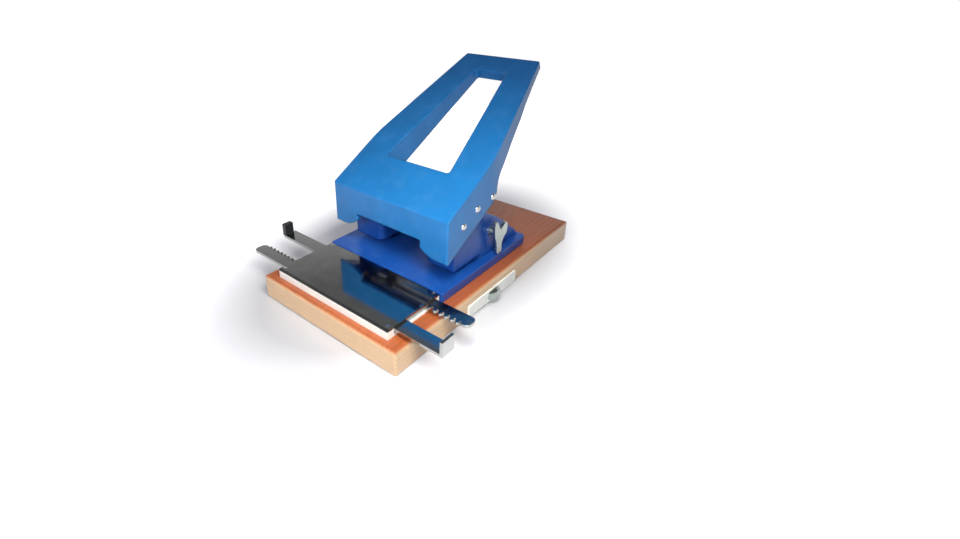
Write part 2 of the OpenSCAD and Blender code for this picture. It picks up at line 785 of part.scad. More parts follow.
// Shaft across the lever, riveted over at both sides
module cross_shaft(at, d) {
    color("silver") {
        along_x(-lever_in_x, at[0], at[1], d, 2 * lever_in_x);
        along_x(-lever_w / 2, at[0], at[1], spigot_d, lever_w);
        for (s = [0, 1]) mirror([s, 0, 0]) translate([lever_w / 2, at[0], at[1]])
            rotate([0, 90, 0]) dome(rivet_d, rivet_h);
    }
}
module pivot_shaft() {
    cross_shaft([pivot_y, pivot_z], shaft_d);
}
module press_shaft() {
    cross_shaft(press_at, shaft_d);
}
module stop_rod() {
    cross_shaft(world_pt(rod_u, rod_v), rod_d);
}
// Flanged bushes in the cheeks
module pivot_bushes() {
    color("goldenrod") for (s = [0, 1]) mirror([s, 0, 0]) difference() {
        union() {
            along_x(cheek_x, pivot_y, pivot_z, bush_d, cheek_t);
            along_x(cheek_x + cheek_t, pivot_y, pivot_z, bush_flange_d,
                lever_in_x - slide_gap - cheek_x - cheek_t);
        }
        along_x(cheek_x - over, pivot_y, pivot_z, shaft_d + 2 * shaft_gap, lever_in_x);
    }
}
// Roller that presses one pin down
module roller(side) {
    color("silver") difference() {
        along_x(side * tower_x - roller_w / 2, press_at[0], press_at[1], roller_d, roller_w);
        along_x(side * tower_x - roller_w, press_at[0], press_at[1],
            shaft_d + 2 * shaft_gap, 2 * roller_w);
    }
}
module left_roller() {
    roller(-1);
}
module right_roller() {
    roller(1);
}
// Rings that keep the rollers in place on the shaft
module roller_clips() {
    color("gray") for (s = [-1, 1], side = [-1, 1]) {
        middle = s * tower_x + side * (roller_w / 2 + slide_gap + clip_t / 2);
        difference() {
            along_x(middle - clip_t / 2, press_at[0], press_at[1], clip_d, clip_t);
            along_x(middle - clip_t, press_at[0], press_at[1], shaft_d, 2 * clip_t);
        }
    }
}

// Steel plate that the paper lies on
module platform_plate() {
    w = platform_w / 2;
    color("lightgray") difference() {
        translate([0, 0, platform_bottom_z]) linear_extrude(platform_t)
            polygon(rounded([[-w, platform_y + strip_t], [w, platform_y + strip_t], [w, platform_rear_y],
                [-w, platform_rear_y]], [0, 0, platform_edge_r, platform_edge_r]));
        platform_screw_places() {
            translate([0, 0, table_z - platform_screw_head_t])
                cylinder(d1 = platform_screw_d + 2 * shaft_gap,
                    d2 = platform_screw_head_d + 2 * shaft_gap, h = platform_screw_head_t);
            translate([0, 0, platform_bottom_z - over])
                cylinder(d = platform_screw_d + 2 * shaft_gap, h = platform_t + over);
        }
    }
}
// Dark strip along the plate's front edge
module platform_edge() {
    color("black") translate([-platform_w / 2, platform_y, platform_bottom_z])
        cube([platform_w, strip_t, platform_t]);
}
// Frame under the plate: floor, front and rear wall and the boss for the pinion
module rack_housing() {
    rear_wall_y = rear_bar_y + rack_w + slide_gap;
    wall_h = platform_bottom_z - board_z;
    color("ivory") difference() {
        translate([-platform_w / 2, platform_y, board_z]) union() {
            cube([platform_w, platform_l, housing_floor]);
            cube([platform_w, front_bar_y - slide_gap - platform_y, wall_h]);
            translate([0, rear_wall_y - platform_y, 0])
                cube([platform_w, platform_rear_y - rear_wall_y, wall_h]);
            translate([platform_w / 2, pinion_y - platform_y, 0])
                cylinder(d = pinion_boss_d, h = rack_z - board_z);
        }
        translate([0, pinion_y, board_z - over]) cylinder(d = pinion_pin_d, h = base_t);
        platform_screw_places() translate([0, 0, board_z - over])
            cylinder(d = platform_screw_d + 2 * shaft_gap, h = base_t);
    }
}
// Four countersunk screws through the plate and the frame into the board
module platform_screws() {
    color("gray") platform_screw_places() {
        translate([0, 0, table_z - platform_screw_head_t])
            cylinder(d1 = platform_screw_d, d2 = platform_screw_head_d, h = platform_screw_head_t);
        translate([0, 0, board_z - platform_screw_bite])
            cylinder(d = platform_screw_d,
                h = table_z - board_z + platform_screw_bite - platform_screw_head_t / 2);
    }
}

// Block with an open channel for each bar
module rack_guide(side) {
    z = board_z + housing_floor;
    rear = rear_bar_y + rack_w + slide_gap;
    x = side > 0 ? guide_block_x : -guide_block_x - guide_block_w;
    color("dimgray") difference() {
        translate([x, front_bar_y - slide_gap, z])
            cube([guide_block_w, rear - front_bar_y + slide_gap, platform_bottom_z - z]);
        for (y = [front_bar_y - over, rear_bar_y - bar_gap])
            translate([x - over, y, rack_z - bar_gap])
                cube([guide_block_w + 2 * over, rack_w + over + bar_gap, base_t]);
    }
}
module left_rack_guide() {
    rack_guide(-1);
}
module right_rack_guide() {
    rack_guide(1);
}
// Toothed bar along X: the outer edge on y = 0, tooth tips on y = rack_w, teeth on the tail's side
function bar_outline(tail, head) =
    let (tail_teeth = floor((tail - tail_gap - pitch / 2) / pitch),
        half = pitch / 4 - backlash / 4, t = tan(tooth_angle),
        tip = half - rack_addendum * t, root = half + rack_root * t,
        low = rack_w - rack_addendum - rack_root)
    concat([[head, 0], [head, rack_w], [head_teeth * pitch, rack_w], [head_teeth * pitch, low]],
        [for (k = [head_teeth - 1:-1:-tail_teeth]) let (x = (k + 0.5) * pitch)
            each [[x + root, low], [x + tip, rack_w], [x - tip, rack_w], [x - root, low]]],
        [[-tail_teeth * pitch, low], [-tail_teeth * pitch, rack_w - rack_addendum],
            [tail_r - tail, rack_w - rack_addendum]],
        arc_corner([0, rack_w - rack_addendum], [-tail, rack_w - rack_addendum], [-tail, 0], tail_r,
            rivet_steps),
        arc_corner([-tail, rack_w], [-tail, 0], [0, 0], tail_r, rivet_steps));
module toothed_bar(tail, head) {
    translate([0, 0, rack_z]) linear_extrude(rack_t) polygon(bar_outline(tail, head));
}
// Front bar, with the right side guide at its end
module front_rack() {
    color("silver") translate([0, front_bar_y, 0]) {
        toothed_bar(guide_tail, guide_right);
        translate([guide_right - bar_end_t, 0, rack_z]) cube([bar_end_t, rack_w, rack_t + guide_h]);
    }
}
// Rear bar, with the left side guide at its end
module rear_rack() {
    color("silver") translate([0, rear_bar_y + rack_w, 0]) rotate([0, 0, 180]) {
        toothed_bar(rear_right, rear_left);
        translate([rear_left - bar_end_t, rack_w - (cap_l + bar_tab_l) / 2, rack_z])
            cube([bar_end_t, bar_tab_l, rack_t + guide_h]);
    }
}
// Dark cap on the left side guide
module rack_cap() {
    middle = bar_end_t / 2 - rear_left;
    z = rack_z + rack_t;
    color("black") difference() {
        translate([middle - cap_w / 2, rear_bar_y, z]) cube([cap_w, cap_l, guide_h + cap_top]);
        translate([-rear_left - shaft_gap, rear_bar_y + (cap_l - bar_tab_l) / 2 - shaft_gap, z - over])
            cube([bar_end_t + 2 * shaft_gap, bar_tab_l + 2 * shaft_gap, guide_h + over]);
    }
}
// Pinion between the two bars
function involute_lag(r) =
    let (a = acos(pinion_r * cos(tooth_angle) / r)) tan(a) * 180 / PI - a;
module pinion() {
    base_r = pinion_r * cos(tooth_angle);
    root_r = pinion_r - rack_root;
    tip_r = pinion_r + gear_module;
    half = (pitch - backlash) / 4 / pinion_r * 180 / PI + involute_lag(pinion_r);
    radii = [for (i = [0:involute_steps]) base_r + (tip_r - base_r) * i / involute_steps];
    flank = concat([[root_r, half]], [for (r = radii) [r, half - involute_lag(r)]]);
    last = len(flank) - 1;
    color("goldenrod") translate([0, pinion_y, rack_z + bar_gap]) difference() {
        linear_extrude(rack_t - 2 * bar_gap) polygon([for (i = [0:pinion_teeth - 1])
            let (c = 90 + 360 * i / pinion_teeth) each concat(
                [for (p = flank) p[0] * [cos(c - p[1]), sin(c - p[1])]],
                [for (j = [last:-1:0]) flank[j][0] * [cos(c + flank[j][1]), sin(c + flank[j][1])]])]);
        translate([0, 0, -over]) cylinder(d = pinion_pin_d + 2 * shaft_gap, h = rack_t + 2 * over);
    }
}
module pinion_pin() {
    color("gray") translate([0, pinion_y, board_z])
        cylinder(d = pinion_pin_d, h = platform_bottom_z - board_z);
}

// Bent sheet: blade between the towers, face, bridge and the ear beside the right cheek
module depth_stop() {
    z = table_z + slide_gap;
    rear = stop_y + stop_reach;
    front = clamp_y - stop_ear_front;
    low = clamp_z - stop_ear_half;
    top = clamp_z + stop_ear_half;
    color("silver") {
        translate([-stop_w / 2, stop_y, z]) cube([stop_w, stop_reach, stop_t]);
        translate([-stop_w / 2, stop_y, z]) cube([stop_w, stop_t, stop_h]);
        translate([-stop_w / 2, rear - stop_bridge_l, z])
            cube([stop_w / 2 + stop_ear_x, stop_bridge_l, stop_t]);
        side_slab(stop_ear_x - stop_ear_t, stop_ear_t) polygon([
            [front, low], [front, top], [clamp_y + stop_travel_front + stop_ear_half, top],
            [rear, table_z + stop_ear_rear_h], [rear, z], [rear - stop_bridge_l, z],
            [rear - stop_bridge_l, low]]);
    }
}
// Threaded bush in the right cheek
module clamp_bush() {
    color("silver") difference() {
        union() {
            along_x(cheek_x, clamp_y, clamp_z, clamp_bush_d, cheek_t);
            along_x(cheek_x + cheek_t, clamp_y, clamp_z, clamp_bush_flange_d, clamp_bush_flange_t);
        }
        along_x(cheek_x - over, clamp_y, clamp_z, clamp_d + 2 * shaft_gap,
            cheek_t + clamp_bush_flange_t + 2 * over);
    }
}
// Clamp screw with three flat arms, whose tip presses on the depth stop's ear
module wing_screw() {
    hub_x = cheek_x + cheek_t + clamp_bush_flange_t + slide_gap;
    color("silver") {
        along_x(cheek_x, clamp_y, clamp_z, clamp_d, hub_x - cheek_x);
        translate([hub_x, clamp_y, clamp_z]) rotate([0, 90, 0])
            cylinder(d1 = hub_d, d2 = hub_tip_d, h = hub_l);
        side_slab(hub_x + hub_l, arm_t) translate([clamp_y, clamp_z])
            polygon(rounded(clamp_arm_l * arm_shares, [for (s = arm_shares) arm_r]));
    }
}

felt_pad();
board();
floor_panel();
drawer_tray();
drawer_front();
drawer_pull();
pull_screw();
base_plate();
base_screws();
left_tower();
right_tower();
tower_bolts();
left_die();
right_die();
left_pin();
right_pin();
left_spring();
right_spring();
lever();
pivot_shaft();
pivot_bushes();
press_shaft();
left_roller();
right_roller();
roller_clips();
stop_rod();
platform_plate();
platform_edge();
rack_housing();
platform_screws();
left_rack_guide();
right_rack_guide();
front_rack();
rear_rack();
rack_cap();
pinion();
pinion_pin();
depth_stop();
clamp_bush();
wing_screw();
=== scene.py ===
"""Dresses the desk hole punch: its finishes, eased edges, screws and springs, and the stage."""

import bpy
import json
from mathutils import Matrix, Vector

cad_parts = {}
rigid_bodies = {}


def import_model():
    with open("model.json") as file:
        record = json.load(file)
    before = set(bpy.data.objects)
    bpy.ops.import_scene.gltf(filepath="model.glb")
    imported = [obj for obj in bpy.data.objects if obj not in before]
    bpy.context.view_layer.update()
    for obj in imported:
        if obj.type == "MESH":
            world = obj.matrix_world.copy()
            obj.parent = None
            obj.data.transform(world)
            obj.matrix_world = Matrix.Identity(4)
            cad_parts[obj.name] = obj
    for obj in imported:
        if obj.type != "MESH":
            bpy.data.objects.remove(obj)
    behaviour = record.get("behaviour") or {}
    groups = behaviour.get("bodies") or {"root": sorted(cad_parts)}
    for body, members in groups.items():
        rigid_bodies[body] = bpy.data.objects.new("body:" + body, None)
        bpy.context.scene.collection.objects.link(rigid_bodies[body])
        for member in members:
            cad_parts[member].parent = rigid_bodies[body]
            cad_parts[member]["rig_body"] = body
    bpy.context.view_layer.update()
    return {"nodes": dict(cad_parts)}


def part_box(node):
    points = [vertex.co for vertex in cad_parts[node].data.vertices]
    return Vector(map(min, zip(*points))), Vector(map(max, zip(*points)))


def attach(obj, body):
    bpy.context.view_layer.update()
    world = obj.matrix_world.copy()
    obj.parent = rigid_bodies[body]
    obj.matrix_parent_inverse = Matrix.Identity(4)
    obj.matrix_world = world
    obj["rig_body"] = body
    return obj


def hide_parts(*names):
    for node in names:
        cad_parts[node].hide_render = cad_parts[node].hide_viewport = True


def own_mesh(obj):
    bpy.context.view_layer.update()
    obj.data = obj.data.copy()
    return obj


bl_info = {
    "name": "Desk Hole Punch",
    "version": (1, 0, 0),
    "blender": (4, 5, 0),
    "location": "3D View > Sidebar > Hole Punch",
    "description": "Finishes, eased edges, screws and a studio stage for the packed hole punch",
    "category": "Object",
}

import json
import math

import bpy
from bpy.props import FloatProperty, FloatVectorProperty, PointerProperty
from mathutils import Matrix, Vector

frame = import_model()

MM = 0.001
NODES = frame["nodes"]
WHITE = (1, 1, 1, 1)
X, Z = Vector((1, 0, 0)), Vector((0, 0, 1))

# A CAD node's loose triangles are merged up to this distance and joined up to this angle.
MERGE = 0.004 * MM
FLAT = math.radians(0.4)
# Edges sharper than this are eased, and the shading stays creased past the second angle.
SHARP = math.radians(40)
CREASED = math.radians(32)
# Steps across an eased edge.
STEPS = 3

# Screws: diameter of the shank, diameter and height of the head, and its kind.
PULL_SCREW = {"shank_d": 3 * MM, "head_d": 6 * MM, "head_t": 2.2 * MM, "sunk": False}
BASE_SCREW = {"shank_d": 5 * MM, "head_d": 9 * MM, "head_t": 4 * MM, "sunk": False}
PLATFORM_SCREW = {"shank_d": 2.5 * MM, "head_d": 4.6 * MM, "head_t": 1.1 * MM, "sunk": True}
SCREW_SIDES = 40
SCREW_CREASED = math.radians(35)

# Nearly all of a noise texture's values lie in this range.
NOISE = {"From Min": 0.3, "From Max": 0.7}

# The camera, as solved from the photograph: lengths in its pixels, angles in degrees.
PHOTO_WIDTH = 960
FOCAL_LENGTH = 501.56
SHIFT_X, SHIFT_Y = 65, -54.5
AZIMUTH, ELEVATION = 40.556, 26.076
CAMERA_PLACE = (0.31044, -0.38991, 0.30811)
SENSOR_WIDTH = 36


# Colours and properties


def linear(hex_colour):
    """Turns an sRGB hex colour into the linear RGBA that Blender's sockets hold."""
    shares = [int(hex_colour[i:i + 2], 16) / 255 for i in (1, 3, 5)]
    return tuple(
        s / 12.92 if s <= 0.04045 else ((s + 0.055) / 1.055) ** 2.4 for s in shares
    ) + (1,)


def colour(name, description, hex_colour):
    """A colour that the user may change."""
    return FloatVectorProperty(
        name=name, description=description, default=linear(hex_colour),
        subtype="COLOR", size=4, min=0, max=1,
    )


def length(name, description, default, low, high):
    """A length in metres that the user may change, shown in the scene's unit."""
    return FloatProperty(
        name=name, description=description, default=default, min=low, max=high,
        unit="LENGTH", precision=4,
    )


def share(name, description, default):
    """A share from 0 to 1 that the user may change."""
    return FloatProperty(
        name=name, description=description, default=default, subtype="FACTOR", min=0, max=1
    )


def power(name, description, default):
    """A lamp's power in watts that the user may change."""
    return FloatProperty(name=name, description=description, default=default, unit="POWER", min=0)


class PunchColours(bpy.types.PropertyGroup):
    """Colours of the hole punch's finishes."""

    enamel: colour("Enamel", "Stove enamel of the lever", "#1B6AAC")
    # The lever's enamel made darker, as painted shade: the lever shades the base plate and the towers.
    enamel_painted_shade: colour("Base Enamel", "Deeper enamel of the towers and base plate", "#164A9E")
    rubbed: colour("Rubbed Enamel", "Enamel where hands have rubbed it", "#6F9BD0")
    stain: colour("Stained Wood", "Top of the board, light part of the grain", "#B45E34")
    stain_dark: colour("Dark Grain", "Top of the board, dark part of the grain", "#9C4E2C")
    edge_wood: colour("Wood Edges", "Sides of the board, light part of the grain", "#E6C29C")
    edge_dark: colour("Dark Edge Grain", "Sides of the board, dark part of the grain", "#D6AE84")
    plywood: colour("Plywood", "Panel below the drawer", "#BE9A6C")
    felt: colour("Felt", "Sheet under the board", "#1B1E18")
    cream: colour("Cream Plastic", "Drawer front and frame below the platform", "#FBFAF6")
    black: colour("Black Plastic", "Side guide's cap and the platform's edge strip", "#1B1C1F")
    tray: colour("Tray Plastic", "Chip drawer's tray", "#3A3B3D")
    acetal: colour("Acetal", "Guides of the toothed bars", "#E4E1D8")
    sheet: colour("Sheet Steel", "Platform plate and toothed bars", "#B2B3B2")
    steel: colour("Steel", "Shafts, bolts and screws", "#C9CACB")
    tool_steel: colour("Tool Steel", "Pins, dies and rollers", "#A9ABAF")
    wire: colour("Spring Wire", "Return springs and the rollers' rings", "#8E9094")
    nickel: colour("Nickel", "Clamp screw and drawer pull", "#B2BAB5")
    bronze: colour("Bronze", "Pivot bushes", "#B98A4E")
    brass: colour("Brass", "Pinion between the bars", "#D8B263")


class PunchSizes(bpy.types.PropertyGroup):
    """Sizes of the details that are modelled here."""

    cast_edge: length("Cast Edge", "Radius of the enamelled edges", 0.002, 0.0003, 0.003)
    arm_edge: length("Arm Edge", "Radius of the clamp screw's edges", 0.0004, 0.0002, 0.0005)
    moulded_edge: length("Moulded Edge", "Radius of plastic edges", 0.0005, 0.0001, 0.0007)
    sheet_edge: length("Sheet Edge", "Radius of a deburred steel edge", 0.0003, 0.0001, 0.0004)
    board_edge: length("Board Edge", "Radius of the board's edges", 0.0009, 0.0002, 0.0015)
    peel: length("Orange Peel", "Distance between the enamel's swellings", 0.0022, 0.0005, 0.01)
    fibre: length("Wood Fibre", "Width of the wood's fibre bundles", 0.0012, 0.0003, 0.005)
    ring: length("Growth Ring", "Width of the board's growth rings", 0.0045, 0.001, 0.02)


class StageSettings(bpy.types.PropertyGroup):
    """Light and floor of the studio."""

    key: power("Key Light", "Power of the near lamp above the lever's front", 0.36)
    top: power("Top Light", "Power of the wide soft box above", 1.0)
    right: power("Right Light", "Power of the lamp at the front right", 1.05)
    front: power("Front Light", "Power of the soft box in front", 1.0)
    rear: power("Rear Light", "Power of the low soft box behind", 2.2)
    sky: share("Sky", "Strength of the even light from all round", 0.05)
    ceiling: share("Ceiling", "Brightness of the ceiling that polished metal mirrors", 0.18)
    floor: share("Floor", "Share of the light that the floor sends back", 0.5)


# Shader nodes


def add(tree, kind, sockets=None, **settings):
    """Adds a shader node, gives it its settings, and sets or links its input sockets."""
    node = tree.nodes.new("ShaderNode" + kind)
    for name, value in settings.items():
        setattr(node, name, value)
    for key, value in (sockets or {}).items():
        if isinstance(value, bpy.types.NodeSocket):
            tree.links.new(value, node.inputs[key])
        else:
            node.inputs[key].default_value = value
    return node


def new_material(name):
    """Makes a material and gives it back with its tree, its shader and its coordinates in mm."""
    material = bpy.data.materials.new(name)
    material.use_nodes = True
    tree = material.node_tree
    tree.nodes.clear()
    shader = add(tree, "BsdfPrincipled")
    add(tree, "OutputMaterial", {"Surface": shader.outputs["BSDF"]})
    place = add(tree, "TexCoord").outputs["Object"]
    in_mm = add(tree, "VectorMath", {0: place, "Scale": 1 / MM}, operation="SCALE").outputs[0]
    return material, tree, shader, in_mm


def spotted(tree, place, size, detail=2, distortion=0):
    """A pattern whose spots are about size (x, y, z) in mm."""
    spread = add(tree, "VectorMath", {0: place, 1: tuple(1 / s for s in size)}, operation="MULTIPLY")
    sockets = {
        "Vector": spread.outputs[0], "Scale": 1, "Detail": detail, "Distortion": distortion
    }
    return add(tree, "TexNoise", sockets).outputs["Fac"]


def toned(tree, pattern, a, b):
    """A colour that runs from a to b with a pattern."""
    along = add(tree, "MapRange", {"Value": pattern, **NOISE}).outputs["Result"]
    return add(tree, "Mix", {0: along, 6: a, 7: b}, data_type="RGBA").outputs[2]


def shade(rgba, factor):
    """A colour made darker or lighter by a factor."""
    return tuple(min(1, c * factor) for c in rgba[:3]) + (1,)


def relief(tree, pattern, depth, edge=0):
    """A bump of depth in mm, on sharp edges that look eased to the radius edge in metres."""
    bump = add(tree, "Bump", {"Height": pattern, "Distance": depth * MM, "Strength": 1})
    if edge:
        eased = add(tree, "Bevel", {"Radius": edge}, samples=8)
        tree.links.new(eased.outputs["Normal"], bump.inputs["Normal"])
    return bump.outputs["Normal"]


def facing(tree, axis, low, high):
    """How far the surface looks along an axis, from 0 to 1."""
    normal = add(tree, "NewGeometry").outputs["Normal"]
    sockets = {0: normal, 1: tuple(axis)}
    along = add(tree, "VectorMath", sockets, operation="DOT_PRODUCT").outputs["Value"]
    sockets = {"Value": along, "From Min": low, "From Max": high}
    return add(tree, "MapRange", sockets).outputs["Result"]


def dress(tree, shader, tone, roughness, normal, values=None):
    """Links a finish's colour, roughness and relief, and sets the shader's other sockets."""
    for name, source in (("Base Color", tone), ("Roughness", roughness), ("Normal", normal)):
        tree.links.new(source, shader.inputs[name])
    for name, value in (values or {}).items():
        shader.inputs[name].default_value = value


# Finishes, each named for what the real one is


def stove_enamel(name, tint, rubbed, peel, edge):
    """Stove enamel sprayed on cast and pressed steel: a satin skin with a faint orange peel."""
    material, tree, shader, place = new_material(name)
    # Thicker and thinner spots of the coat shift the blue a little, over 30 mm.
    drift = spotted(tree, place, (30, 30, 30), detail=3)
    tone = toned(tree, drift, shade(tint, 0.93), shade(tint, 1.08))
    # Rubbed spots are a touch paler and duller, as on a tool that hands have used.
    hands = spotted(tree, place, (14, 14, 14), detail=3)
    paler = add(
        tree, "MapRange", {"Value": hands, "From Min": 0.5, "From Max": 0.75, "To Max": 0.1}
    ).outputs["Result"]
    tone = add(tree, "Mix", {0: paler, 6: tone, 7: rubbed}, data_type="RGBA").outputs[2]
    rough = add(
        tree, "MapRange", {"Value": hands, **NOISE, "To Min": 0.3, "To Max": 0.38}
    ).outputs["Result"]
    # The orange peel is 1 mm on the real one and is drawn about twice as coarse, so that it shows.
    swell = spotted(tree, place, (peel / MM,) * 3, detail=1)
    dress(
        tree, shader, tone, rough, relief(tree, swell, 0.03, edge),
        {"IOR": 1.42, "Coat Weight": 0.08, "Coat Roughness": 0.12},
    )
    return material


def stained_beech(tints, sizes):
    """Beech board with a stained, lacquered top and sides that are only lacquered."""
    material, tree, shader, place = new_material("stained_beech")
    fibre, ring = sizes.fibre / MM, sizes.ring / MM
    # Growth rings are shells round the tree's heart, which lies below the board and to its left.
    heart = (35.0, 0.0, 90.0)
    shifted = add(tree, "VectorMath", {0: place, 1: heart}, operation="ADD").outputs[0]
    flat = add(tree, "VectorMath", {0: shifted, 1: (1, 0, 1)}, operation="MULTIPLY").outputs[0]
    radius = add(tree, "VectorMath", {0: flat}, operation="LENGTH").outputs["Value"]
    # The shells wander by up to nine rings along the board.
    wander = spotted(tree, place, (60, 260, 60))
    bent = add(
        tree, "Math", {0: wander, 1: 9 * ring, 2: radius}, operation="MULTIPLY_ADD"
    ).outputs[0]
    turn = add(tree, "Math", {0: bent, 1: 2 * math.pi / ring}, operation="MULTIPLY").outputs[0]
    band = add(tree, "Math", {0: turn}, operation="SINE").outputs[0]
    rings = add(tree, "MapRange", {"Value": band, "From Min": -1, "From Max": 1}).outputs["Result"]
    # Fibre bundles run along Y and are drawn about twice as wide as beech's, so that they show.
    bundles = spotted(tree, place, (fibre, 45, fibre), detail=4)
    streaks = spotted(tree, place, (9, 160, 9))
    grain = add(tree, "Math", {0: rings, 1: 0.35}, operation="MULTIPLY").outputs[0]
    for pattern, weight in ((bundles, 0.75), (streaks, 0.5)):
        grain = add(
            tree, "Math", {0: pattern, 1: weight, 2: grain}, operation="MULTIPLY_ADD"
        ).outputs[0]
    dark = add(
        tree, "MapRange", {"Value": grain, "From Min": 0.4, "From Max": 1.3}
    ).outputs["Result"]
    top = add(tree, "Mix", {0: dark, 6: tints.stain, 7: tints.stain_dark}, data_type="RGBA")
    side = add(tree, "Mix", {0: dark, 6: tints.edge_wood, 7: tints.edge_dark}, data_type="RGBA")
    # The stain was wiped over the rounded edge and runs out towards the sides.
    upward = facing(tree, Z, 0.2, 0.9)
    tone = add(
        tree, "Mix", {0: upward, 6: side.outputs[2], 7: top.outputs[2]}, data_type="RGBA"
    ).outputs[2]
    rough = add(
        tree, "MapRange", {"Value": bundles, **NOISE, "To Min": 0.3, "To Max": 0.48}
    ).outputs["Result"]
    dress(
        tree, shader, tone, rough, relief(tree, bundles, 0.12, sizes.board_edge),
        {"Coat Weight": 0.3, "Coat Roughness": 0.22},
    )
    return material


def raw_plywood(tint):
    """Thin birch plywood, sanded and left raw: pale, dull, with long soft streaks."""
    material, tree, shader, place = new_material("raw_birch_plywood")
    streaks = spotted(tree, place, (3, 70, 3), detail=4)
    tone = toned(tree, streaks, shade(tint, 0.8), shade(tint, 1.12))
    rough = add(
        tree, "MapRange", {"Value": streaks, **NOISE, "To Min": 0.65, "To Max": 0.8}
    ).outputs["Result"]
    dress(tree, shader, tone, rough, relief(tree, streaks, 0.1))
    return material


def pressed_felt(tint):
    """Pressed wool felt: dull, mottled, with matted fibres that stand out a little."""
    material, tree, shader, place = new_material("pressed_wool_felt")
    mottle = spotted(tree, place, (5, 5, 5), detail=4)
    # Wool fibres are 0.03 mm thick, and are drawn as 0.8 mm tufts, so that they show.
    tufts = spotted(tree, place, (0.8, 0.8, 0.8), detail=5, distortion=1.5)
    tone = toned(tree, tufts, shade(tint, 0.7), shade(tint, 1.5))
    rough = add(
        tree, "MapRange", {"Value": mottle, **NOISE, "To Min": 0.9, "To Max": 1}
    ).outputs["Result"]
    dress(
        tree, shader, tone, rough, relief(tree, tufts, 0.4),
        {"Sheen Weight": 0.35, "Sheen Roughness": 0.5},
    )
    return material


def moulded_plastic(name, tint, rough, grain, depth, edge=0):
    """Injection-moulded plastic: even colour, faint flow marks, and the fine grain of the mould."""
    material, tree, shader, place = new_material(name)
    flow = spotted(tree, place, (25, 12, 12))
    tone = toned(tree, flow, shade(tint, 0.95), shade(tint, 1.02))
    # The mould's spark-eroded grain is 0.2 mm wide, and is drawn coarser, so that it shows.
    pits = spotted(tree, place, (grain, grain, grain), detail=3)
    gloss = add(
        tree, "MapRange", {"Value": pits, **NOISE, "To Min": rough[0], "To Max": rough[1]}
    ).outputs["Result"]
    dress(tree, shader, tone, gloss, relief(tree, pits, depth, edge), {"IOR": 1.53})
    return material


def worked_metal(name, tint, rough, marks, depth):
    """Metal with tool marks of the size marks (x, y, z) in mm, long where it was drawn or brushed."""
    material, tree, shader, place = new_material(name)
    lines = spotted(tree, place, marks, detail=4)
    marked = add(
        tree, "MapRange", {"Value": lines, **NOISE, "To Min": rough[0], "To Max": rough[1]}
    ).outputs["Result"]
    # Handling leaves a faint bloom in patches of about 15 mm, darker and a little duller.
    bloom = spotted(tree, place, (15, 15, 15), detail=3)
    tone = toned(tree, bloom, shade(tint, 0.85), tint)
    haze = add(
        tree, "MapRange", {"Value": bloom, **NOISE, "To Min": 0.02, "To Max": 0}
    ).outputs["Result"]
    gloss = add(tree, "Math", {0: marked, 1: haze}, operation="ADD").outputs[0]
    dress(tree, shader, tone, gloss, relief(tree, lines, depth), {"Metallic": 1})
    return material


# Pieces


def deselect_all():
    """Leaves nothing selected and no mesh in edit mode."""
    if bpy.context.object and bpy.context.object.mode != "OBJECT":
        bpy.ops.object.mode_set(mode="OBJECT")
    bpy.ops.object.select_all(action="DESELECT")


def make_active(piece):
    """Selects one piece alone."""
    deselect_all()
    piece.select_set(True)
    bpy.context.view_layer.objects.active = piece


def apply_place(piece):
    """Puts a finished piece's place into its mesh, so that its object sits at the origin."""
    make_active(piece)
    bpy.ops.object.transform_apply(location=True, rotation=True, scale=True)


def coat(piece, material):
    """Gives a piece or a CAD node one material all over."""
    if not piece.material_slots:
        piece.data.materials.append(material)
    for held in piece.material_slots:
        held.material = material
    return piece


def stand_in(piece, node):
    """Lets a piece ride on a CAD node's body and stand for the node."""
    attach(piece, NODES[node]["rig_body"])
    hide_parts(node)
    return piece


def own_copy(node, name):
    """A copy of a CAD node with a mesh of its own."""
    piece = NODES[node].copy()
    piece.data = NODES[node].data.copy()
    piece.name = piece.data.name = name
    for key in list(piece.keys()):
        del piece[key]
    bpy.context.scene.collection.objects.link(piece)
    piece.parent = None
    piece.hide_render = piece.hide_viewport = False
    return piece


def wound_spring(node, material):
    """A copy of a CAD spring, with a mesh of its own, that stands for the spring on its body."""
    piece = stand_in(coat(own_copy(node, node + "_wound"), material), node)
    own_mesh(piece)
    return piece


def eased_copy(node, radius, material):
    """A copy of a CAD node whose sharp edges are eased to a radius."""
    piece = own_copy(node, node + "_eased")
    make_active(piece)
    bpy.ops.mesh.customdata_custom_splitnormals_clear()
    bpy.ops.object.mode_set(mode="EDIT")
    bpy.ops.mesh.select_mode(type="EDGE")
    bpy.ops.mesh.select_all(action="SELECT")
    bpy.ops.mesh.remove_doubles(threshold=MERGE)
    bpy.ops.mesh.dissolve_limited(angle_limit=FLAT)
    bpy.ops.mesh.select_all(action="DESELECT")
    bpy.ops.mesh.edges_select_sharp(sharpness=SHARP)
    bpy.ops.mesh.bevel(
        offset=radius, segments=STEPS, profile=0.5, affect="EDGES",
        clamp_overlap=False, miter_outer="ARC",
    )
    bpy.ops.object.mode_set(mode="OBJECT")
    bpy.ops.object.shade_smooth_by_angle(angle=CREASED)
    even = piece.modifiers.new("even_shading", "WEIGHTED_NORMAL")
    even.keep_sharp = True
    bpy.ops.object.modifier_apply(modifier=even.name)
    return stand_in(coat(piece, material), node)


def combine(piece, form, operation):
    """Joins a closed form to a piece or cuts it out of the piece, and deletes the form."""
    make_active(piece)
    step = piece.modifiers.new("form", "BOOLEAN")
    step.operation = operation
    step.solver = "EXACT"
    step.object = form
    bpy.ops.object.modifier_apply(modifier=step.name)
    bpy.data.objects.remove(form, do_unlink=True)


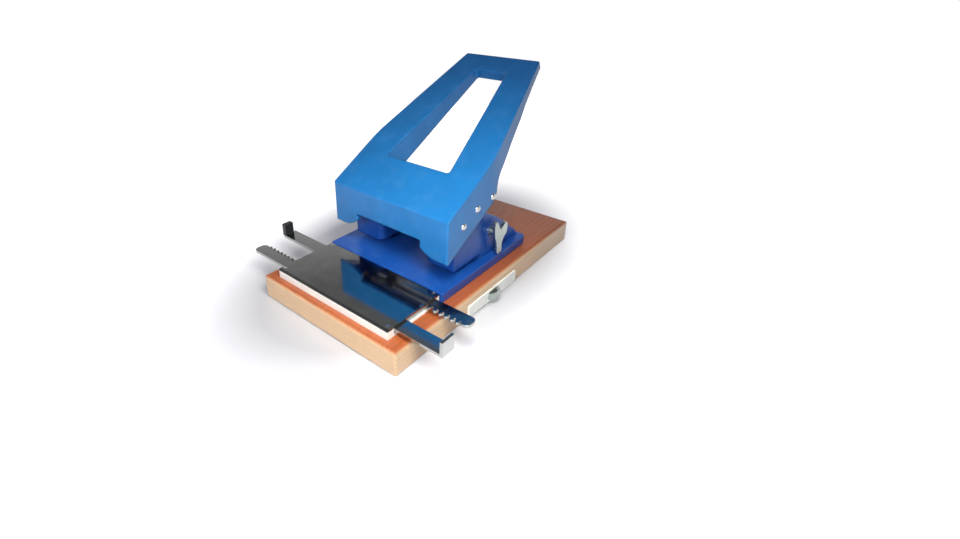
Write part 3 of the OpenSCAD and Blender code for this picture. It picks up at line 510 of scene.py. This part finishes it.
def select_underside(piece):
    """Goes into edit mode with only the faces selected that look down."""
    make_active(piece)
    bpy.ops.object.mode_set(mode="EDIT")
    bpy.ops.mesh.select_mode(type="FACE")
    bpy.ops.mesh.select_all(action="DESELECT")
    bpy.ops.object.mode_set(mode="OBJECT")
    for face in piece.data.polygons:
        face.select = face.normal.z < -0.9
    bpy.ops.object.mode_set(mode="EDIT")


def cross_recess(width, arm, depth):
    """A cutter for a cross recess at the origin: two crossed bars that narrow to their lower end."""
    bars = []
    for along_x, along_y in ((width, arm), (arm, width)):
        deselect_all()
        bpy.ops.mesh.primitive_cube_add(size=1)
        bar = bpy.context.object
        bar.scale = (along_x, along_y, 2 * depth)
        apply_place(bar)
        select_underside(bar)
        bpy.ops.transform.resize(value=(0.5, 0.5, 1), center_override=(0, 0, -depth))
        bpy.ops.object.mode_set(mode="OBJECT")
        bars.append(bar)
    combine(bars[0], bars[1], "UNION")
    return bars[0]


def screw(shank_l, shank_d, head_d, head_t, sunk):
    """A screw below the origin: a sunk or a round-edged head with a cross recess, on a shank."""
    deselect_all()
    bpy.ops.mesh.primitive_cylinder_add(
        vertices=SCREW_SIDES, radius=head_d / 2, depth=head_t, location=(0, 0, -head_t / 2)
    )
    piece = bpy.context.object
    apply_place(piece)
    select_underside(piece)
    if sunk:
        narrow = shank_d / head_d
        bpy.ops.transform.resize(value=(narrow, narrow, 1), center_override=(0, 0, -head_t))
    else:
        bpy.ops.mesh.inset(thickness=(head_d - shank_d) / 2, depth=0)
    bpy.ops.mesh.extrude_region_move(TRANSFORM_OT_translate={"value": (0, 0, -shank_l)})
    bpy.ops.mesh.select_all(action="DESELECT")
    bpy.ops.object.mode_set(mode="OBJECT")
    corners = piece.data.vertices
    for edge in piece.data.edges:
        edge.select = min(corners[end].co.z for end in edge.vertices) > -0.01 * head_t
    bpy.ops.object.mode_set(mode="EDIT")
    bpy.ops.mesh.select_mode(type="EDGE")
    # A sunk head's rim is only broken, and a standing head's rim is well rounded.
    rounding = head_t * (0.06 if sunk else 0.3)
    bpy.ops.mesh.bevel(offset=rounding, segments=STEPS, affect="EDGES")
    bpy.ops.object.mode_set(mode="OBJECT")
    cross = cross_recess(width=head_d * 0.13, arm=head_d * 0.62, depth=head_t * 0.6)
    combine(piece, cross, "DIFFERENCE")
    bpy.ops.object.shade_smooth_by_angle(angle=SCREW_CREASED)
    return piece


def drive_screws(node, places, out, material, form):
    """One screw at each place, its head looking along out, joined to stand for a CAD node."""
    low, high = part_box(node)
    reach = max(abs(axis * (b - a)) for axis, a, b in zip(out, low, high))
    first = screw(reach - form["head_t"], **form)
    copies = [first]
    for _ in places[1:]:
        copy = first.copy()
        copy.data = first.data.copy()
        bpy.context.scene.collection.objects.link(copy)
        copies.append(copy)
    stand = Z.rotation_difference(out).to_matrix().to_4x4()
    for index, (copy, place) in enumerate(zip(copies, places)):
        # Driven home by hand, so no two crosses stand alike: 1.1 radians from one to the next.
        spin = Matrix.Rotation(0.5 + 1.1 * index, 4, "Z")
        copy.matrix_world = Matrix.Translation(place) @ stand @ spin
    deselect_all()
    for copy in copies:
        copy.select_set(True)
    bpy.context.view_layer.objects.active = first
    if len(copies) > 1:
        bpy.ops.object.join()
    apply_place(first)
    first.name = first.data.name = node + "_driven"
    return stand_in(coat(first, material), node)


def corner_places(node, head_d, height):
    """The four axes of a node's screws, which stand at the corners of its box."""
    low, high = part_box(node)
    r = head_d / 2
    across, along = (low[0] + r, high[0] - r), (low[1] + r, high[1] - r)
    return [Vector((x, y, height)) for x in across for y in along]


# Operators


class PUNCH_OT_board(bpy.types.Operator):
    """Finishes the wooden board, its felt and the panel below the drawer"""

    bl_idname = "punch.board"
    bl_label = "Board, Felt and Panel"

    def execute(self, context):
        tints, sizes = context.scene.punch_colours, context.scene.punch_sizes
        coat(NODES["board"], stained_beech(tints, sizes))
        coat(NODES["floor_panel"], raw_plywood(tints.plywood))
        coat(NODES["felt_pad"], pressed_felt(tints.felt))
        return {"FINISHED"}


class PUNCH_OT_drawer(bpy.types.Operator):
    """Finishes the chip drawer, its front plate and pull, and models its screw"""

    bl_idname = "punch.drawer"
    bl_label = "Chip Drawer"

    def execute(self, context):
        tints, sizes = context.scene.punch_colours, context.scene.punch_sizes
        tray = moulded_plastic("moulded_abs_tray", tints.tray, (0.45, 0.6), 0.8, 0.06)
        coat(NODES["drawer_tray"], tray)
        cream = moulded_plastic(
            "moulded_abs_cream_front", tints.cream, (0.25, 0.36), 1.2, 0.03, sizes.moulded_edge
        )
        coat(NODES["drawer_front"], cream)
        # Pressed sheet, nickel plated: smooth, with faint drawing lines round the hood.
        plated = worked_metal(
            "pressed_nickel_plated_sheet", tints.nickel, (0.1, 0.2), (9, 9, 0.7), 0.01
        )
        coat(NODES["drawer_pull"], plated)
        zinc = worked_metal("zinc_plated_screw", tints.steel, (0.22, 0.35), (2, 2, 2), 0.02)
        low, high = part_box("pull_screw")
        middle = [(a + b) / 2 for a, b in zip(low, high)]
        place = Vector((low[0], middle[1], middle[2]))
        drive_screws("pull_screw", [place], -X, zinc, PULL_SCREW)
        return {"FINISHED"}


class PUNCH_OT_towers(bpy.types.Operator):
    """Finishes the lever, the base plate and the towers, and models the screws below"""

    bl_idname = "punch.towers"
    bl_label = "Lever, Base Plate and Towers"

    def execute(self, context):
        tints, sizes = context.scene.punch_colours, context.scene.punch_sizes
        skin = (tints.rubbed, sizes.peel, sizes.cast_edge)
        coat(NODES["lever"], stove_enamel("stove_enamel_lever", tints.enamel, *skin))
        # The same enamel made darker paints the shade that the lever casts on the base plate and the
        # towers.
        painted_shade_enamel = stove_enamel("stove_enamel_painted_shade", tints.enamel_painted_shade, *skin)
        for node in ("base_plate", "left_tower", "right_tower"):
            coat(NODES[node], painted_shade_enamel)
        zinc = worked_metal("zinc_plated_steel", tints.steel, (0.22, 0.35), (2, 2, 2), 0.02)
        for node in ("tower_bolts", "clamp_bush"):
            coat(NODES[node], zinc)
        low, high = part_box("base_screws")
        places = corner_places("base_screws", BASE_SCREW["head_d"], low[2])
        drive_screws("base_screws", places, -Z, zinc, BASE_SCREW)
        return {"FINISHED"}


class PUNCH_OT_punches(bpy.types.Operator):
    """Finishes the pins, dies, springs and rollers"""

    bl_idname = "punch.punches"
    bl_label = "Pins, Dies and Springs"

    def execute(self, context):
        tints = context.scene.punch_colours
        # Ground tool steel: fine rings round the upright pins and dies.
        ground = worked_metal(
            "ground_tool_steel", tints.tool_steel, (0.16, 0.28), (8, 8, 0.6), 0.01
        )
        # Drawn wire: an even grey with a dull, oily gloss.
        wire = worked_metal("drawn_spring_wire", tints.wire, (0.25, 0.4), (1.5, 1.5, 1.5), 0.01)
        coat(NODES["roller_clips"], wire)
        for side in ("left", "right"):
            for part in ("_die", "_pin", "_roller"):
                coat(NODES[side + part], ground)
            wound_spring(side + "_spring", wire)
        return {"FINISHED"}


class PUNCH_OT_shafts(bpy.types.Operator):
    """Finishes the lever's shafts, rod and bushes"""

    bl_idname = "punch.shafts"
    bl_label = "Shafts and Bushes"

    def execute(self, context):
        tints = context.scene.punch_colours
        # Bright drawn steel, riveted over: rings round the shafts, which run along X.
        bright = worked_metal(
            "bright_drawn_steel", tints.steel, (0.14, 0.26), (6, 0.8, 0.8), 0.02
        )
        for node in ("pivot_shaft", "press_shaft", "stop_rod", "pinion_pin"):
            coat(NODES[node], bright)
        bronze = worked_metal(
            "sintered_bronze", tints.bronze, (0.35, 0.5), (0.7, 0.7, 0.7), 0.03
        )
        coat(NODES["pivot_bushes"], bronze)
        return {"FINISHED"}


class PUNCH_OT_platform(bpy.types.Operator):
    """Finishes the paper platform, its strip, its frame and the bars' guides, and models its screws"""

    bl_idname = "punch.platform"
    bl_label = "Paper Platform"

    def execute(self, context):
        tints, sizes = context.scene.punch_colours, context.scene.punch_sizes
        # Polished sheet: it mirrors the lever, with hair-fine marks along X from the belt.
        polished = worked_metal(
            "polished_steel_sheet", tints.sheet, (0.05, 0.11), (60, 1.2, 1.2), 0.004
        )
        coat(NODES["platform_plate"], polished)
        black = moulded_plastic(
            "moulded_abs_black_strip", tints.black, (0.4, 0.55), 0.8, 0.05
        )
        eased_copy("platform_edge", sizes.sheet_edge, black)
        cream = moulded_plastic(
            "moulded_abs_cream_frame", tints.cream, (0.28, 0.4), 1.2, 0.03, sizes.moulded_edge
        )
        coat(NODES["rack_housing"], cream)
        acetal = moulded_plastic("moulded_acetal", tints.acetal, (0.35, 0.5), 1, 0.03)
        for node in ("left_rack_guide", "right_rack_guide"):
            coat(NODES[node], acetal)
        zinc = worked_metal(
            "bright_zinc_plated_screw", tints.steel, (0.16, 0.28), (2, 2, 2), 0.01
        )
        low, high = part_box("platform_screws")
        places = corner_places("platform_screws", PLATFORM_SCREW["head_d"], high[2])
        drive_screws("platform_screws", places, Z, zinc, PLATFORM_SCREW)
        return {"FINISHED"}


class PUNCH_OT_guides(bpy.types.Operator):
    """Eases and finishes the toothed bars, the cap and the depth stop, and finishes the pinion"""

    bl_idname = "punch.guides"
    bl_label = "Guides and Stop"

    def execute(self, context):
        tints, sizes = context.scene.punch_colours, context.scene.punch_sizes
        # Brushed sheet: marks along the bars' length.
        brushed = worked_metal(
            "brushed_steel_bar", tints.sheet, (0.08, 0.16), (30, 0.9, 0.9), 0.006
        )
        for node in ("front_rack", "rear_rack", "depth_stop"):
            eased_copy(node, sizes.sheet_edge, brushed)
        black = moulded_plastic("moulded_abs_black_cap", tints.black, (0.4, 0.55), 0.8, 0.06)
        eased_copy("rack_cap", sizes.moulded_edge, black)
        brass = worked_metal("machined_brass", tints.brass, (0.18, 0.3), (1.5, 1.5, 0.4), 0.02)
        coat(NODES["pinion"], brass)
        return {"FINISHED"}


class PUNCH_OT_clamp(bpy.types.Operator):
    """Eases and finishes the depth stop's clamp screw"""

    bl_idname = "punch.clamp"
    bl_label = "Clamp Screw"

    def execute(self, context):
        tints, sizes = context.scene.punch_colours, context.scene.punch_sizes
        # Zinc casting with dull nickel: soft, slightly uneven, a little green in its shade.
        nickel = worked_metal(
            "cast_nickel_plated_zinc", tints.nickel, (0.2, 0.34), (1.6, 1.6, 1.6), 0.04
        )
        eased_copy("wing_screw", sizes.arm_edge, nickel)
        return {"FINISHED"}


def lamp(name, place, target, size, energy, tint=(1, 1, 1), spread=180, mirrored=False):
    """A soft box at a place, turned to a target, whose light keeps to a cone of spread degrees."""
    data = bpy.data.lights.new(name, "AREA")
    data.shape = "SQUARE"
    data.size = size
    data.energy = energy
    data.color = tint
    data.spread = math.radians(spread)
    lamp_object = bpy.data.objects.new(name, data)
    bpy.context.scene.collection.objects.link(lamp_object)
    lamp_object.location = place
    # Gloss doesn't mirror the low wide boxes, which would show as pale patches on the wood.
    lamp_object.visible_glossy = mirrored
    aim = Vector(target) - Vector(place)
    lamp_object.rotation_euler = aim.to_track_quat("-Z", "Y").to_euler()


def seen_directly(tree):
    """1 for camera, glossy and transmission rays, which see the white studio, and 0 for others."""
    path = add(tree, "LightPath").outputs
    sockets = {0: path["Is Camera Ray"], 1: path["Is Glossy Ray"]}
    both = add(tree, "Math", sockets, operation="ADD").outputs[0]
    sockets = {0: both, 1: path["Is Transmission Ray"]}
    return add(tree, "Math", sockets, operation="ADD", use_clamp=True).outputs[0]


class PUNCH_OT_stage(bpy.types.Operator):
    """Sets up the white studio floor, the soft light and the camera"""

    bl_idname = "punch.stage"
    bl_label = "Studio Stage"

    def execute(self, context):
        scene = context.scene
        scene.view_settings.view_transform = "Standard"
        self.light(scene)
        self.lay_floor(scene.punch_stage)
        self.set_camera(scene)
        return {"FINISHED"}

    def light(self, scene):
        """The lamps, an even sky, and a white horizon under a dim ceiling that metal mirrors."""
        settings = scene.punch_stage
        world = bpy.data.worlds.new("studio")
        scene.world = world
        world.use_nodes = True
        tree = world.node_tree
        tree.nodes.clear()
        up = add(tree, "SeparateXYZ", {0: add(tree, "TexCoord").outputs["Generated"]}).outputs["Z"]
        # The horizon turns into the ceiling between these heights on the unit sphere.
        height = add(
            tree, "MapRange", {"Value": up, "From Min": 0.3, "From Max": 0.55}
        ).outputs["Result"]
        path = add(tree, "LightPath").outputs
        mirrored = add(
            tree, "Math", {0: height, 1: path["Is Glossy Ray"]}, operation="MULTIPLY"
        ).outputs[0]
        dim = shade(WHITE, settings.ceiling)
        seen = add(tree, "Mix", {0: mirrored, 6: WHITE, 7: dim}, data_type="RGBA").outputs[2]
        # The even light is a little blue, which shows in the shade only.
        even = (0.8 * settings.sky, 0.84 * settings.sky, settings.sky, 1)
        tone = add(
            tree, "Mix", {0: seen_directly(tree), 6: even, 7: seen}, data_type="RGBA"
        ).outputs[2]
        background = add(tree, "Background", {"Color": tone, "Strength": 1})
        add(tree, "OutputWorld", {"Surface": background.outputs[0]})
        cool, clear = (0.52, 0.68, 1), (0.95, 1, 0.8)
        lamp(
            "key_lamp", (0.17, -0.2, 0.35), (0.04, -0.11, 0.12), 0.12, settings.key,
            tint=clear, spread=88, mirrored=True,
        )
        lamp(
            "top_soft_box", (0.2, -0.35, 0.75), (0, -0.03, 0.06), 0.45, settings.top,
            tint=cool, mirrored=True,
        )
        lamp(
            "right_lamp", (0.35, -0.3, 0.3), (0.03, -0.05, 0.1), 0.15, settings.right,
            mirrored=True,
        )
        lamp("front_soft_box", (0.03, -0.5, 0.27), (0, -0.05, 0.1), 0.2, settings.front)
        lamp("rear_soft_box", (-0.42, 0.62, 0.26), (0, 0.05, 0.08), 0.4, settings.rear)

    def lay_floor(self, settings):
        """A wide floor that glows white, with its glow dimmed round the punch as painted shade, and
        that keeps the punch's shadow and mirrors it faintly.
        """
        deselect_all()
        # The floor lies a hair below the felt.
        bpy.ops.mesh.primitive_plane_add(size=60, location=(0, 0, -0.05 * MM))
        floor = bpy.context.object
        floor.name = "studio_floor"
        material = bpy.data.materials.new("studio_laminate")
        material.use_nodes = True
        tree = material.node_tree
        tree.nodes.clear()
        # The laminate is white, with a little violet that shows only in the shade.
        violet = (settings.floor, settings.floor * 0.96, settings.floor * 1.06, 1)
        matt = add(tree, "BsdfDiffuse", {"Color": violet})
        # Round the board the lamps light the floor and its glow is dim, painted shade in which the
        # shadows show. Further out the glow is white, painted light over the lamps' falling light. The
        # fade is an oval, a little wider at the left, where the bars reach out.
        place = add(tree, "NewGeometry").outputs["Position"]
        shifted = add(tree, "VectorMath", {0: place, 1: (0.03, 0, 0)}, operation="ADD").outputs[0]
        oval = add(
            tree, "VectorMath", {0: shifted, 1: (1, 0.62, 1)}, operation="MULTIPLY"
        ).outputs[0]
        away = add(tree, "VectorMath", {0: oval}, operation="LENGTH").outputs["Value"]
        shaded_to, white_from, shaded_glow = 0.12, 0.19, 0.12
        white = add(
            tree, "MapRange",
            {"Value": away, "From Min": shaded_to, "From Max": white_from, "To Min": shaded_glow},
        ).outputs["Result"]
        painted_floor_glow = add(
            tree, "Math", {0: seen_directly(tree), 1: white}, operation="MULTIPLY"
        ).outputs[0]
        glow = add(tree, "Emission", {"Color": WHITE, "Strength": painted_floor_glow})
        lit = add(tree, "AddShader", {0: matt.outputs[0], 1: glow.outputs[0]})
        sheen = add(tree, "BsdfGlossy", {"Color": WHITE, "Roughness": 0.14})
        gloss_share = 0.07
        surface = add(
            tree, "MixShader", {0: gloss_share, 1: lit.outputs[0], 2: sheen.outputs[0]}
        )
        add(tree, "OutputMaterial", {"Surface": surface.outputs[0]})
        coat(floor, material)
        apply_place(floor)

    def set_camera(self, scene):
        """The photograph's camera: a wide lens, shifted so that the punch sits left of the middle."""
        data = bpy.data.cameras.new("camera")
        data.sensor_width = SENSOR_WIDTH
        data.lens = SENSOR_WIDTH * FOCAL_LENGTH / PHOTO_WIDTH
        data.shift_x = SHIFT_X / PHOTO_WIDTH
        data.shift_y = SHIFT_Y / PHOTO_WIDTH
        data.clip_end = 100
        camera = bpy.data.objects.new("camera", data)
        scene.collection.objects.link(camera)
        camera.location = CAMERA_PLACE
        camera.rotation_euler = (math.radians(90 - ELEVATION), 0, math.radians(AZIMUTH))
        scene.camera = camera


class PUNCH_PT_panel(bpy.types.Panel):
    """Lists the finishes, sizes and steps of the hole punch"""

    bl_idname = "PUNCH_PT_panel"
    bl_label = "Hole Punch"
    bl_space_type = "VIEW_3D"
    bl_region_type = "UI"
    bl_category = "Hole Punch"

    def draw(self, context):
        for title, name, group in GROUPS:
            box = self.layout.box()
            box.label(text=title)
            for field in group.__annotations__:
                box.prop(getattr(context.scene, name), field)
        for operator in OPERATORS:
            self.layout.operator(operator.bl_idname)


GROUPS = (
    ("Colours", "punch_colours", PunchColours),
    ("Sizes", "punch_sizes", PunchSizes),
    ("Stage", "punch_stage", StageSettings),
)
OPERATORS = (
    PUNCH_OT_board, PUNCH_OT_drawer, PUNCH_OT_towers, PUNCH_OT_punches, PUNCH_OT_shafts,
    PUNCH_OT_platform, PUNCH_OT_guides, PUNCH_OT_clamp, PUNCH_OT_stage,
)


def register():
    """Registers the property groups, the operators and the panel."""
    for _, name, group in GROUPS:
        bpy.utils.register_class(group)
        setattr(bpy.types.Scene, name, PointerProperty(type=group))
    for part in OPERATORS + (PUNCH_PT_panel,):
        bpy.utils.register_class(part)


def unregister():
    """Takes them out again, in the other order."""
    for part in (PUNCH_PT_panel,) + OPERATORS[::-1]:
        bpy.utils.unregister_class(part)
    for _, name, group in GROUPS[::-1]:
        delattr(bpy.types.Scene, name)
        bpy.utils.unregister_class(group)


def main():
    """Runs every step in order."""
    register()
    for operator in OPERATORS:
        group, name = operator.bl_idname.split(".")
        if "FINISHED" not in getattr(getattr(bpy.ops, group), name)():
            raise RuntimeError(operator.bl_label + " did not finish")


if __name__ == "__main__":
    main()
